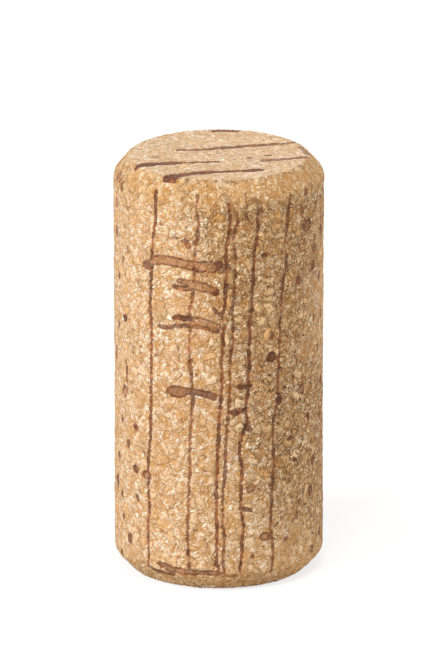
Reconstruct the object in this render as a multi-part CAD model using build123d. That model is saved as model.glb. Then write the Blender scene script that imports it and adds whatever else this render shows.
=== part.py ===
"""A wine cork of bonded cork granules, 49 mm long and 24.2 mm across, with both ends chamfered.

It is one solid. The look of natural cork is burnt into it as shallow channels: growth lines that run up
the side, lenticels that cross them as bars and dot the sides between them, and a few long ones across
each end. The cork stands on its lower end, with the origin at the middle of that end, +Z up its axis
and the front of the pattern towards -Y. Lengths are in millimetres and angles in degrees.
"""

import os
from math import cos, pi, radians, sin

from build123d import *

# The blank
length = 49.0
diameter = 24.2
chamfer_height = 2.0  # along the axis
chamfer_inset = 1.8  # towards the axis
shoulder_blend = 1.5  # radius between the side and a chamfer

# The burnt figure
burn_depth = 0.15
growth_line_width = 0.36
fine_line_width = 0.22
oval_sides = 6
drawn_low = 2.0  # the heights of the chamfers' edges that the pattern below is drawn between
drawn_high = 47.0
drawn_flat = 20.6  # diameter of the flat end that its lenticels are drawn for

radius = diameter / 2
flat_radius = radius - chamfer_inset
shank_low = chamfer_height
shank_high = length - chamfer_height
cutter_overrun = 1.0  # how far a cutter stands out of the surface

# Growth lines from the lower end up: pairs of degrees round from the front, to the right, and height
FRONT_GROWTH_LINES = (
    ((-43.0, 2.3), (-42.6, 7.0), (-40.9, 9.6), (-41.4, 17.0), (-39.3, 22.3), (-39.4, 31.3),
     (-41.0, 33.5), (-39.1, 35.8), (-37.4, 43.2), (-34.7, 47.2)),
    ((-16.0, 2.4), (-17.3, 4.0), (-17.5, 6.3), (-15.1, 15.6), (-15.8, 20.2), (-14.0, 23.2),
     (-16.1, 28.6), (-15.0, 32.2), (-16.6, 33.3), (-13.2, 37.0), (-13.0, 40.3), (-10.2, 44.9),
     (-10.6, 47.2)),
    ((-1.0, 2.3), (0.2, 20.4), (4.3, 32.2), (2.2, 33.5), (3.8, 35.0), (5.0, 42.5), (6.6, 44.2),
     (6.0, 46.8)),
    ((11.2, 2.6), (13.9, 8.8), (12.6, 10.8), (13.9, 14.6), (12.2, 16.7), (12.8, 18.6), (15.4, 20.6),
     (18.3, 27.3), (17.0, 28.8), (18.3, 31.3), (17.4, 32.5), (20.3, 40.0), (23.0, 43.3), (22.0, 45.4)),
    ((29.7, 2.4), (31.0, 4.2), (29.8, 6.6), (30.0, 9.4), (32.2, 15.2), (31.2, 19.5), (34.4, 23.2),
     (37.6, 36.3), (40.4, 38.9), (39.0, 41.5), (43.2, 46.4)),
)
FINE_GROWTH_LINES = (
    ((2.0, 3.2), (3.6, 6.8), (1.8, 8.8), (2.0, 11.5), (3.6, 14.2), (6.9, 26.2), (6.2, 27.2),
     (8.7, 32.6), (7.2, 33.8), (8.9, 35.4), (9.8, 41.0), (8.9, 42.8), (10.8, 44.7), (9.6, 46.4)),
    ((16.2, 43.7), (15.5, 47.2)),
)
BACK_GROWTH_LINES = (
    ((139.5, 2.9), (141.0, 8.0), (138.5, 27.5), (141.5, 34.0), (142.5, 46.1)),
    ((158.0, 2.9), (156.5, 9.0), (157.0, 22.5), (158.5, 35.5), (160.5, 46.1)),
    ((172.5, 2.9), (174.0, 10.0), (172.0, 17.0), (175.0, 24.0), (176.5, 38.0), (175.0, 46.1)),
    ((193.0, 2.9), (191.5, 8.5), (194.0, 16.0), (195.5, 30.5), (197.0, 46.1)),
    ((214.0, 2.9), (215.5, 9.5), (213.0, 16.5), (218.0, 40.5), (216.5, 46.1)),
)

# Lenticels that cross the growth lines: degrees round from the front, height and width at each point
CROSS_LENTICELS = (
    ((-43.5, 38.5, 0.8), (-38.0, 39.0, 0.5), (-31.0, 39.6, 0.8), (-22.0, 39.6, 1.0), (-10.0, 39.3, 0.9),
     (-2.0, 39.2, 1.1), (3.5, 39.1, 0.7)),
    ((-25.0, 36.6, 0.3), (-18.0, 36.8, 0.7), (-11.0, 36.9, 0.8), (-4.0, 36.7, 0.6), (0.5, 36.6, 0.7)),
    ((-25.5, 32.9, 0.3), (-19.0, 32.9, 0.4), (-12.0, 32.8, 0.6), (-4.0, 32.4, 0.5), (0.5, 32.2, 0.6)),
    ((-33.5, 31.6, 0.3), (-28.5, 31.6, 0.3), (-24.0, 32.1, 0.3), (-17.5, 32.1, 0.25)),
    ((-27.5, 24.1, 0.7), (-22.5, 24.1, 1.1), (-14.0, 24.1, 0.7), (-7.0, 24.0, 0.6), (-2.8, 23.8, 0.6)),
    ((-40.5, 2.2, 0.3), (-34.0, 2.6, 0.5), (-26.0, 2.6, 0.5), (-15.0, 2.5, 0.6), (-6.0, 2.7, 0.6),
     (1.0, 2.7, 0.5)),
    ((11.8, 24.7, 0.5), (14.5, 24.8, 0.4), (17.2, 24.6, 0.4)),
    ((7.0, 21.9, 0.5), (10.5, 21.9, 0.6), (13.0, 21.8, 0.5), (15.6, 22.3, 0.4)),
    ((12.4, 10.4, 0.35), (15.5, 10.1, 0.3), (18.5, 9.9, 0.25)),
    ((150.0, 41.0, 0.4), (157.0, 41.2, 0.9), (166.0, 41.0, 0.8), (173.0, 40.7, 0.5)),
    ((168.0, 29.5, 0.5), (176.0, 29.8, 0.9), (186.0, 29.5, 0.8), (196.0, 29.2, 0.4)),
    ((136.0, 17.5, 0.4), (143.0, 17.7, 0.7), (150.0, 17.5, 0.7), (156.0, 17.3, 0.4)),
    ((190.0, 11.2, 0.5), (199.0, 11.5, 0.9), (209.0, 11.2, 0.6)),
)

# Lenticels seen end on: degrees round from the front, height, width, height and lean of each oval
END_ON_LENTICELS = (
    (-64.8, 46.9, 0.8, 1.2, -35), (-76.0, 44.0, 1.0, 0.7, 20), (-18.0, 41.9, 0.4, 1.1, 25),
    (-64.0, 31.2, 1.2, 0.8, 30), (-72.0, 29.8, 0.6, 1.0, -20), (-62.0, 24.9, 0.4, 1.2, 0),
    (-63.0, 22.3, 1.3, 1.2, 0), (-52.0, 18.7, 1.0, 0.7, 0), (-60.0, 16.2, 0.6, 1.3, -15),
    (-52.0, 13.6, 1.3, 0.9, 15), (-43.8, 13.5, 1.3, 0.9, 10), (-76.0, 10.8, 1.1, 1.0, 0),
    (-65.5, 7.1, 0.6, 0.6, 0), (-59.0, 4.9, 0.9, 1.2, 0), (24.4, 40.3, 0.8, 0.5, 0),
    (14.2, 36.8, 0.5, 0.9, -20), (57.2, 43.0, 1.5, 1.0, 0), (76.0, 41.0, 0.9, 0.6, 0),
    (64.0, 37.5, 1.2, 1.0, -15), (48.5, 36.4, 0.9, 0.8, 0), (30.3, 27.9, 1.1, 1.1, -20),
    (34.9, 22.7, 1.0, 1.0, 0), (52.5, 23.3, 1.0, 0.9, 0), (58.0, 19.5, 0.7, 0.6, 30),
    (62.8, 13.9, 1.0, 0.9, 0), (62.0, 10.4, 0.8, 1.2, 15), (17.5, 12.7, 1.0, 0.8, 0),
    (27.0, 6.7, 1.2, 0.9, 15), (74.0, 4.6, 1.0, 0.8, 0), (63.5, 3.2, 1.1, 1.0, 0),
    (88.0, 33.0, 0.7, 1.1, 10), (97.0, 26.0, 1.0, 0.7, 0), (108.0, 39.0, 1.1, 0.8, 0),
    (103.0, 8.5, 1.0, 0.9, 0), (228.0, 36.0, 0.9, 0.7, 0), (236.0, 21.0, 0.7, 1.1, 10),
    (246.0, 42.5, 0.9, 0.8, 0), (259.0, 12.0, 1.1, 0.8, 0), (241.0, 7.0, 0.9, 0.8, 0),
)

# Lenticels across an end: millimetres to the right, millimetres back from the front, and width
TOP_LENTICELS = (
    ((-4.5, 1.5, 0.4), (-2.6, 1.6, 0.35), (-0.4, 2.1, 0.35), (1.8, 2.7, 0.45), (4.4, 3.6, 0.35),
     (5.5, 3.7, 0.4)),
    ((6.2, 4.0, 0.4), (7.4, 3.9, 0.25), (8.4, 4.4, 0.4)),
    ((-9.0, -4.9, 0.9), (-8.0, -4.2, 0.7), (-6.0, -3.8, 0.6), (-4.0, -3.4, 0.35), (-2.3, -2.9, 0.3)),
    ((-5.6, -9.4, 0.9), (-4.8, -8.5, 0.9), (-3.2, -7.9, 0.6), (-1.0, -7.2, 0.6), (1.5, -6.7, 0.5),
     (4.4, -6.1, 0.5)),
    ((5.4, -2.5, 0.4), (7.4, -2.1, 0.35), (9.6, -1.2, 0.3)),
)
BOTTOM_LENTICELS = (
    ((-6.8, 5.6, 0.4), (-3.0, 6.4, 0.5), (1.6, 7.0, 0.35)),
    ((-1.5, -0.6, 0.4), (2.5, 0.2, 0.6), (6.5, 0.8, 0.5), (8.6, 1.5, 0.3)),
    ((-8.6, -3.4, 0.4), (-5.0, -2.9, 0.7), (-2.4, -2.2, 0.3)),
    ((-3.2, -7.6, 0.5), (0.8, -7.1, 0.4), (4.2, -6.2, 0.3)),
)


def blank():
    """The turned cork before burning: a cylinder with a softened chamfer at each end."""
    half_section = Polyline(
        (0, 0),
        (flat_radius, 0),
        (radius, shank_low),
        (radius, shank_high),
        (flat_radius, length),
        (0, length),
        close=True,
    )
    face = make_face(Plane.XZ * half_section)
    shoulders = [v for v in face.vertices() if abs(v.X - radius) < 1e-6]
    face = fillet(shoulders, shoulder_blend)
    return revolve(face, Axis.Z)


def ribbon(points, widths):
    """A flat face that follows points, as wide at each as widths says, and pointed at both ends."""
    centres = [Vector(x, y) for x, y in points]
    ahead = centres[1:] + centres[-1:]
    behind = centres[:1] + centres[:-1]
    along = [(a - b).normalized() for a, b in zip(ahead, behind)]
    aside = [Vector(-d.Y, d.X) * (w / 2) for d, w in zip(along, widths)]
    left = [c + s for c, s in zip(centres, aside)]
    right = [c - s for c, s in zip(centres, aside)]
    near_tip = centres[0] - along[0] * widths[0]
    far_tip = centres[-1] + along[-1] * widths[-1]
    return make_face(Polyline(near_tip, *left, far_tip, *reversed(right), close=True))


def shank_height(drawn):
    """Where a drawn height lies between this cork's chamfers."""
    share = (drawn - drawn_low) / (drawn_high - drawn_low)
    return shank_low + share * (shank_high - shank_low)


def plane_facing(angle, distance):
    """The upright plane at that distance from the axis that faces out at that angle, with its Y up."""
    outward = Vector(0, -1, 0).rotate(Axis.Z, angle)
    return Plane(origin=outward * distance, x_dir=Vector(1, 0, 0).rotate(Axis.Z, angle), z_dir=outward)


def sunk(face, angle):
    """The cutter that sinks a narrow face into the side at that angle, with a flat floor."""
    return extrude(plane_facing(angle, radius - burn_depth) * face, burn_depth + cutter_overrun)


def wrapped(face, angle):
    """The cutter that sinks a wide face into the side at that angle, with a floor that follows the side."""
    return extrude(plane_facing(angle, 0) * face, radius + cutter_overrun) & burnt_sleeve


def side_ribbon(path, widths, cutter):
    """The cutter of a ribbon on the side, whose path is in degrees and drawn heights."""
    middle = (path[0][0] + path[-1][0]) / 2
    flat_points = [(radius * sin(radians(a - middle)), shank_height(z)) for a, z in path]
    return cutter(ribbon(flat_points, widths), middle)


def side_oval(angle, drawn_height, width, height, lean):
    """The cutter of an oval on the side, with as many straight edges as oval_sides."""
    turns = [2 * pi * i / oval_sides for i in range(oval_sides)]
    outline = Polyline([(width / 2 * cos(t), height / 2 * sin(t)) for t in turns], close=True)
    oval = Pos(0, shank_height(drawn_height)) * Rot(0, 0, lean) * make_face(outline)
    return sunk(oval, angle)


def end_ribbon(path, z_floor):
    """The cutter of a ribbon across an end, from z_floor up by the burnt depth and the overrun."""
    scale_to_flat = 2 * flat_radius / drawn_flat
    points = [(x * scale_to_flat, y * scale_to_flat) for x, y, w in path]
    face = ribbon(points, [w for x, y, w in path])
    return Pos(0, 0, z_floor) * extrude(face, burn_depth + cutter_overrun)


def growth_line_cutters():
    """Every growth line on the side."""
    full = FRONT_GROWTH_LINES + BACK_GROWTH_LINES
    widths = [growth_line_width] * len(full) + [fine_line_width] * len(FINE_GROWTH_LINES)
    return [side_ribbon(p, [w] * len(p), sunk) for p, w in zip(full + FINE_GROWTH_LINES, widths)]


def lenticel_cutters():
    """Every lenticel on the side and on both ends."""
    crossing = []
    for lenticel in CROSS_LENTICELS:
        path = [(angle, height) for angle, height, width in lenticel]
        crossing.append(side_ribbon(path, [width for angle, height, width in lenticel], wrapped))
    end_on = [side_oval(*oval) for oval in END_ON_LENTICELS]
    top = [end_ribbon(p, length - burn_depth) for p in TOP_LENTICELS]
    bottom = [end_ribbon(p, -cutter_overrun) for p in BOTTOM_LENTICELS]
    return crossing + end_on + top + bottom


burnt_sleeve = Cylinder(radius + cutter_overrun, length, align=(Align.CENTER, Align.CENTER, Align.MIN))
burnt_sleeve -= Cylinder(radius - burn_depth, length, align=(Align.CENTER, Align.CENTER, Align.MIN))

cork = blank()
cork -= growth_line_cutters() + lenticel_cutters()

os.makedirs("parts", exist_ok=True)
export_step(cork, "parts/cork.step")
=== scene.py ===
"""The looks of a wine cork of bonded cork granules, with the figure of natural cork burnt into it.

The cork is one fine mesh, fitted inside the CAD solid. Its relief and its colour both come from the same
field of granules, so that what looks like a gap between two granules is a gap in the mesh too.
"""

from collections import namedtuple
from math import cos, pi, radians, sin, tan

import bpy
import numpy as np
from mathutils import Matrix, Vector


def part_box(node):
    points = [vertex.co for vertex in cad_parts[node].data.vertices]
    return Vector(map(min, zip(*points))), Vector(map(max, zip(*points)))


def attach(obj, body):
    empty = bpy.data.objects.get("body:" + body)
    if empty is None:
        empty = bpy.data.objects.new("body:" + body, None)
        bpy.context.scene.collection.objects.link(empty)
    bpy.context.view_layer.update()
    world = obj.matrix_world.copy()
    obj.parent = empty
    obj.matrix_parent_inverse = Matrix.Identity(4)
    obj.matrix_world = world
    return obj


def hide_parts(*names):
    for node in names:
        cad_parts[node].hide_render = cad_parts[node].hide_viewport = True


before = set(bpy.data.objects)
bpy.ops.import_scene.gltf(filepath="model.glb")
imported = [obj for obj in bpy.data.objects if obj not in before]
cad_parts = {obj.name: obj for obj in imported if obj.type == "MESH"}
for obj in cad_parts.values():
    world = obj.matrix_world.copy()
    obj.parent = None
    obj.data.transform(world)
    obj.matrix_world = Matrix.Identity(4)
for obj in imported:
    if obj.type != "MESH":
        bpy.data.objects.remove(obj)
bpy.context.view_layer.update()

MM = 0.001

# The cork, in millimetres, from the frame
LOW, HIGH = (Vector(corner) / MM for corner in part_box("cork"))
LENGTH = HIGH.z - LOW.z
RADIUS = (HIGH.x - LOW.x) / 2
ARC_PER_DEGREE = radians(1) * RADIUS
CHAMFER_HEIGHT = 2.0
CHAMFER_INSET = 1.8
SHOULDER_BLEND = 1.5
RIM_BLEND = 0.7
FLAT_RADIUS = RADIUS - CHAMFER_INSET

# The mesh: the ends are square grids bent into discs, so the side has four times as many columns
END_GRID = 84
COLUMNS = 4 * END_GRID
SPACING = 2 * pi * RADIUS / COLUMNS

# Granules to a millimetre, and the share of the large ones that stay whole
COARSE_GRAIN = 0.92
FINE_GRAIN = 1.95
WHOLE_SHARE = 0.27

# What bends the granules: each noise's waves to a millimetre, and its reach in millimetres
SWAY_WAVES, SWAY_REACH = 0.8, 1.1
RIPPLE_WAVES, RIPPLE_REACH = 3.0, 0.32

# The slow noise that says where granules are rougher, shifted to put that on the right of the front. There
# they are also darker and more saturated, which is partly painted shade.
COARSE_SHADE_PATCH_WAVES = 0.035
COARSE_SHADE_PATCH_SHIFT = (14.0, 26.0, 34.0)

# The other noises, in waves to a millimetre. Rows of cells are stretched along their second axis.
ROW_WAVES = 4.5
ROW_STRETCH = (1.0, 0.25, 1.0)
RIM_WAVES = 1.5
BROWN_PATCH_WAVES = 0.65
WARM_AREA_WAVES = 0.16
RAGGED_WAVES = 2.6
SWELL_WAVES = 0.9
GRIT_WAVES = 9.0
UNEVEN_WAVES = 0.22

# Nets of short strokes along the edges of cells: cells to a millimetre, millimetres from an edge, the noise
# at which they start and are full, and that noise's waves to a millimetre
CREASE_NET = (3.1, 0.065, 0.45, 0.60, 1.7)
STROKE_NET = (1.3, 0.09, 0.56, 0.64, 1.9)
STROKE_NET_SHIFT = (31.0, 17.0, 9.0)

# Relief, as millimetres below the turned surface
GRANULE_RELIEF = 0.07
SETTLED_RELIEF = 0.042
UNEVEN_RELIEF = 0.05
WAIST_RELIEF = 0.06
LINE_DEPTH = 0.07
LENTICEL_DEPTH = 0.09
PIT_DEPTH = 0.12
PIT_CHANCE = 0.965  # a granule whose random number is above this is a pit

# What bump adds to the relief, in shares of its reach, and that reach in millimetres, fine and coarse
RIM_BUMP = 0.10
TILT_BUMP = 0.34
ROW_BUMP = 0.09
GRIT_BUMP = 0.03
CREASE_BUMP = 0.03
BURN_BUMP = 0.05
FINE_BUMP_REACH, COARSE_BUMP_REACH = 0.95, 2.0

# The burnt figure's edge, in millimetres: how ragged it is, how lines swell and how far lenticels spread
RAGGED_REACH = 0.42
SWELL_REACH = 0.45
LENTICEL_SPREAD = 0.08

# Screen colours from 0 to 255. The ramp runs through the granules by a random number of each.
GRANULE_RAMP = ((0.0, (188, 150, 112)), (0.12, (214, 182, 145)), (0.40, (230, 207, 177)),
                (0.85, (236, 217, 194)), (1.0, (242, 227, 207)))
AMBER_GRANULE = (216, 160, 92)
DULL_GRANULE = (182, 144, 96)
DARK_ROWS, PALE_ROWS = (194, 146, 84), (245, 224, 190)
# Granule rims: partly the granules' golden-brown edges, partly painted shade in the gaps between granules
FINE_RIM_AND_GAP_SHADE, COARSE_RIM_AND_GAP_SHADE = (190, 138, 72), (164, 112, 56)
FINE_CREASE, COARSE_CREASE = (172, 120, 64), (122, 82, 44)
DARK_STROKE = (98, 60, 32)
BROWN_PATCH = (188, 134, 74)
WARM_AREA = (214, 164, 104)
# The rough part's tint: painted shade, making it darker and more saturated
COARSE_SHADE_TINT = (254, 247, 229)
# The chamfers' tint: partly a more golden tone, partly painted shade against the light they catch facing up
CHAMFER_TINT_AND_SHADE = (241, 234, 216)
END_TINT = (250, 236, 208)
LIGHT_SCORCH, DEEP_SCORCH = (150, 80, 40), (88, 38, 16)
HOLLOW_SCORCH = (162, 106, 66)
SHEEN_TINT = (255, 244, 228)

# The skin's gloss
DARK_ROW_ROUGHNESS, PALE_ROW_ROUGHNESS = 0.94, 0.82
BURNT_ROUGHNESS = 0.96
SPECULAR = 0.26
SHEEN, SHEEN_ROUGHNESS = 0.12, 0.5

# Growth lines: how strongly each is burnt, its width, and degrees to the right of the front with height
GROWTH_LINES = (
    (0.95, 0.46, ((-37.4, 47.4), (-36.4, 46.5), (-37.0, 45.5), (-36.1, 44.5), (-36.6, 43.8), (-38.0, 42.6),
                  (-38.4, 41.6), (-39.0, 40.0), (-39.6, 38.4), (-40.0, 36.2), (-40.3, 35.3), (-41.0, 34.0),
                  (-40.2, 32.7), (-39.6, 30.2), (-39.8, 27.2), (-40.2, 25.6), (-40.1, 24.0), (-40.0, 22.6),
                  (-40.5, 21.0), (-40.6, 19.2), (-41.0, 17.4), (-42.0, 16.0), (-42.2, 13.5), (-42.0, 10.9),
                  (-41.3, 9.8), (-41.9, 8.6), (-42.6, 7.1), (-42.2, 3.9), (-42.3, 2.3))),
    (0.85, 0.42, ((-11.9, 47.5), (-12.0, 45.7), (-11.0, 44.7), (-11.3, 43.7), (-11.9, 42.4), (-12.9, 41.3),
                  (-13.3, 40.2), (-13.5, 38.0), (-13.8, 36.2), (-14.6, 35.2), (-15.8, 34.2), (-16.1, 33.6),
                  (-15.1, 32.0), (-16.2, 30.7), (-16.5, 29.3), (-15.7, 27.9), (-15.2, 26.6), (-14.5, 25.0),
                  (-14.1, 23.4), (-14.7, 22.0), (-15.4, 20.2), (-15.9, 18.4), (-15.8, 14.5), (-16.4, 13.2),
                  (-16.9, 10.3), (-17.3, 7.0), (-16.8, 5.0), (-16.6, 4.0), (-16.3, 3.0))),
    (0.95, 0.44, ((5.2, 46.7), (6.0, 45.4), (6.6, 44.4), (5.8, 43.6), (4.6, 42.4), (4.2, 41.3), (4.4, 39.4),
                  (4.2, 37.5), (3.5, 35.6), (3.4, 34.5), (1.6, 33.4), (3.3, 32.2), (2.1, 31.0), (2.5, 30.0),
                  (2.1, 29.0), (1.3, 28.0), (2.1, 26.0), (1.7, 25.0), (1.3, 23.4), (0.4, 21.5), (0.0, 20.2),
                  (0.2, 19.0), (-0.5, 17.2), (-0.6, 15.6), (-1.4, 12.5), (-1.2, 9.0), (-1.0, 4.0),
                  (0.0, 2.8))),
    (0.85, 0.38, ((10.1, 45.3), (10.2, 44.4), (8.5, 43.3), (8.2, 42.2), (9.2, 40.2), (9.1, 38.1),
                  (8.7, 36.0), (8.2, 34.8), (6.7, 33.7), (8.1, 32.6), (7.4, 30.6), (7.7, 29.9),
                  (6.5, 28.4), (5.9, 27.0), (6.6, 25.6), (6.0, 24.0), (5.4, 22.3), (4.8, 20.5),
                  (4.3, 18.8), (3.9, 17.0), (3.6, 14.8), (3.1, 13.6), (2.3, 12.0), (2.2, 9.6),
                  (2.4, 8.5), (2.9, 7.4), (3.4, 6.5), (2.8, 5.4), (2.6, 3.6), (3.2, 2.6))),
    (0.70, 0.30, ((5.6, 46.7), (8.2, 46.3), (10.1, 45.3))),
    (0.65, 0.28, ((15.2, 47.6), (15.4, 46.6), (15.5, 45.4), (15.8, 44.3))),
    (0.95, 0.44, ((21.6, 45.2), (21.8, 44.2), (21.9, 43.5), (21.4, 42.4), (20.0, 41.1), (19.5, 40.3),
                  (19.2, 38.1), (18.5, 36.5), (18.4, 34.9), (17.8, 33.6), (16.8, 32.4), (17.2, 31.2),
                  (16.9, 30.0), (16.5, 28.6), (17.4, 27.4), (16.3, 26.0), (16.2, 24.6), (15.8, 23.4),
                  (15.2, 22.6), (15.0, 22.1), (15.8, 20.6), (14.4, 20.0), (13.1, 19.1), (11.8, 18.2),
                  (11.2, 17.0), (12.7, 15.6), (12.9, 14.0), (12.4, 13.0), (12.4, 11.8), (12.1, 10.3),
                  (13.7, 8.6), (13.6, 7.4), (12.6, 6.2), (13.1, 4.9), (12.0, 3.7), (11.3, 2.6))),
    (0.90, 0.42, ((42.7, 46.8), (42.2, 45.9), (40.7, 45.0), (40.7, 43.8), (39.7, 42.4), (38.8, 41.3),
                  (39.1, 40.5), (40.1, 39.2), (39.4, 37.9), (38.0, 37.1), (37.0, 36.0), (36.3, 34.5),
                  (36.1, 33.0), (35.2, 31.8), (35.7, 30.8), (35.3, 29.5), (35.3, 28.3), (34.7, 27.0),
                  (34.2, 25.4), (34.1, 24.3), (34.9, 22.7), (33.0, 22.1), (31.9, 21.2), (31.2, 20.0),
                  (31.1, 17.7), (32.1, 15.5), (31.2, 13.9), (30.5, 12.0), (30.5, 10.4), (29.8, 9.0),
                  (29.8, 7.4), (30.5, 6.0), (31.2, 4.1), (30.9, 3.1), (30.0, 2.1))),
    (0.95, 0.42, ((142.5, 47.2), (140.6, 43.0), (141.5, 34.0), (139.2, 30.4), (138.5, 27.5), (140.4, 21.2),
                  (139.0, 14.5), (141.0, 8.0), (139.5, 2.4))),
    (0.85, 0.36, ((160.5, 47.2), (161.3, 41.4), (158.5, 35.5), (160.0, 29.0), (157.0, 22.5), (158.3, 15.2),
                  (156.5, 9.0), (158.0, 2.4))),
    (0.95, 0.44, ((175.0, 47.2), (176.5, 38.0), (173.8, 31.4), (175.0, 24.0), (172.0, 17.0), (174.0, 10.0),
                  (172.5, 2.4))),
    (0.85, 0.38, ((197.0, 47.2), (194.2, 37.6), (195.5, 30.5), (192.2, 23.2), (194.0, 16.0), (191.5, 8.5),
                  (193.0, 2.4))),
    (0.90, 0.42, ((216.5, 47.2), (218.0, 40.5), (214.6, 33.0), (216.0, 25.0), (213.0, 16.5), (215.5, 9.5),
                  (214.0, 2.4))),
)

# Lenticels that cross the growth lines: how strongly each is burnt, how hollow its middle is, and degrees,
# height and width at each point
CROSS_LENTICELS = (
    (0.95, 0.1, ((-43.8, 38.5, 0.8), (-42.0, 38.5, 1.15), (-40.2, 38.6, 1.05))),
    (0.90, 0.4, ((-40.0, 38.9, 0.7), (-37.0, 39.2, 0.95), (-34.0, 39.5, 1.05), (-30.0, 39.5, 1.05),
                 (-25.0, 39.5, 1.15), (-20.0, 39.4, 1.1), (-12.5, 39.2, 1.15), (-7.0, 39.2, 1.3),
                 (-3.0, 39.2, 1.25))),
    (1.00, 0.0, ((-14.2, 39.1, 0.9), (-12.8, 39.0, 1.0))),
    (1.00, 0.1, ((-3.0, 39.3, 0.9), (-0.6, 39.3, 1.25), (1.2, 39.1, 0.7))),
    (0.75, 0.2, ((1.0, 38.9, 0.8), (3.0, 38.8, 0.7), (5.0, 39.0, 0.6))),
    (0.95, 0.2, ((-25.1, 36.6, 0.45), (-21.5, 36.5, 0.6), (-18.0, 36.5, 0.6), (-15.5, 36.6, 0.6))),
    (0.80, 0.4, ((-22.6, 37.35, 0.4), (-18.0, 37.25, 0.7), (-14.0, 36.95, 1.1), (-9.5, 36.85, 1.15),
                 (-6.0, 36.6, 0.9), (-3.5, 36.45, 0.8))),
    (1.00, 0.0, ((-3.4, 36.4, 0.8), (-2.0, 36.3, 1.0))),
    (1.00, 0.1, ((-25.1, 32.8, 0.45), (-22.1, 33.0, 0.55), (-18.1, 32.9, 0.55), (-14.5, 32.9, 0.5))),
    (0.75, 0.4, ((-14.5, 32.9, 0.5), (-10.5, 32.75, 0.9), (-7.0, 32.5, 1.0), (-4.0, 32.3, 0.9),
                 (-0.6, 32.1, 0.8))),
    (0.85, 0.0, ((-33.9, 31.6, 0.5), (-29.7, 31.5, 0.5), (-24.6, 31.9, 0.42), (-19.6, 32.0, 0.45),
                 (-15.0, 32.05, 0.4), (-9.0, 32.05, 0.45), (-5.0, 31.9, 0.5))),
    (0.90, 0.2, ((-3.4, 31.7, 0.65), (-1.0, 31.8, 0.75))),
    (0.80, 0.0, ((-2.6, 34.3, 0.3), (-1.0, 33.9, 0.4), (1.2, 33.5, 0.5))),
    (0.95, 0.25, ((-27.6, 24.1, 0.9), (-25.0, 24.1, 1.35), (-21.5, 24.1, 1.35), (-19.0, 24.2, 0.9))),
    (0.95, 0.15, ((-19.0, 24.2, 0.7), (-15.6, 24.3, 0.8), (-9.5, 24.2, 0.7), (-6.0, 24.0, 0.75),
                  (-2.8, 23.8, 0.85))),
    (0.50, 0.0, ((4.4, 36.7, 0.3), (8.6, 36.7, 0.3))),
    (0.90, 0.0, ((-42.3, 2.3, 0.35), (-36.0, 2.0, 0.45), (-30.0, 1.9, 0.4), (-25.6, 1.85, 0.3))),
    (0.85, 0.2, ((-34.7, 3.0, 0.5), (-31.7, 2.9, 0.7), (-26.7, 2.6, 0.75), (-20.0, 2.5, 0.75),
                 (-16.6, 2.5, 0.7), (-11.0, 2.6, 0.55), (-4.5, 2.6, 0.6), (0.5, 2.5, 0.6))),
    (0.65, 0.0, ((2.0, 2.3, 0.35), (6.0, 2.1, 0.3), (9.8, 2.2, 0.35))),
    (0.95, 0.0, ((11.3, 24.9, 0.6), (13.6, 24.8, 0.5), (17.0, 24.9, 0.6))),
    (0.95, 0.0, ((6.2, 21.9, 0.5), (9.5, 21.9, 0.65), (12.0, 22.0, 0.65), (14.4, 22.2, 0.5))),
    (0.85, 0.0, ((14.4, 20.3, 0.45), (16.0, 19.9, 0.6), (17.8, 19.7, 0.4))),
    (0.85, 0.0, ((12.1, 10.3, 0.45), (15.0, 10.2, 0.5), (18.1, 9.9, 0.35))),
    (0.50, 0.0, ((17.5, 46.7, 0.6), (20.0, 46.9, 0.8), (22.2, 46.3, 0.6), (22.6, 45.3, 0.4))),
    (0.40, 0.0, ((3.5, 47.6, 0.4), (5.0, 47.1, 0.7), (5.6, 46.5, 0.5))),
    (0.90, 0.4, ((150.0, 41.0, 0.5), (157.0, 41.2, 1.0), (166.0, 41.0, 0.9), (173.0, 40.7, 0.6))),
    (0.90, 0.3, ((168.0, 29.5, 0.6), (176.0, 29.8, 1.1), (186.0, 29.5, 0.9), (196.0, 29.2, 0.5))),
    (0.85, 0.2, ((136.0, 17.5, 0.5), (143.0, 17.7, 0.8), (150.0, 17.5, 0.8), (156.0, 17.3, 0.5))),
    (0.90, 0.3, ((190.0, 11.2, 0.6), (199.0, 11.5, 1.0), (209.0, 11.2, 0.7))),
)

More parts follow.
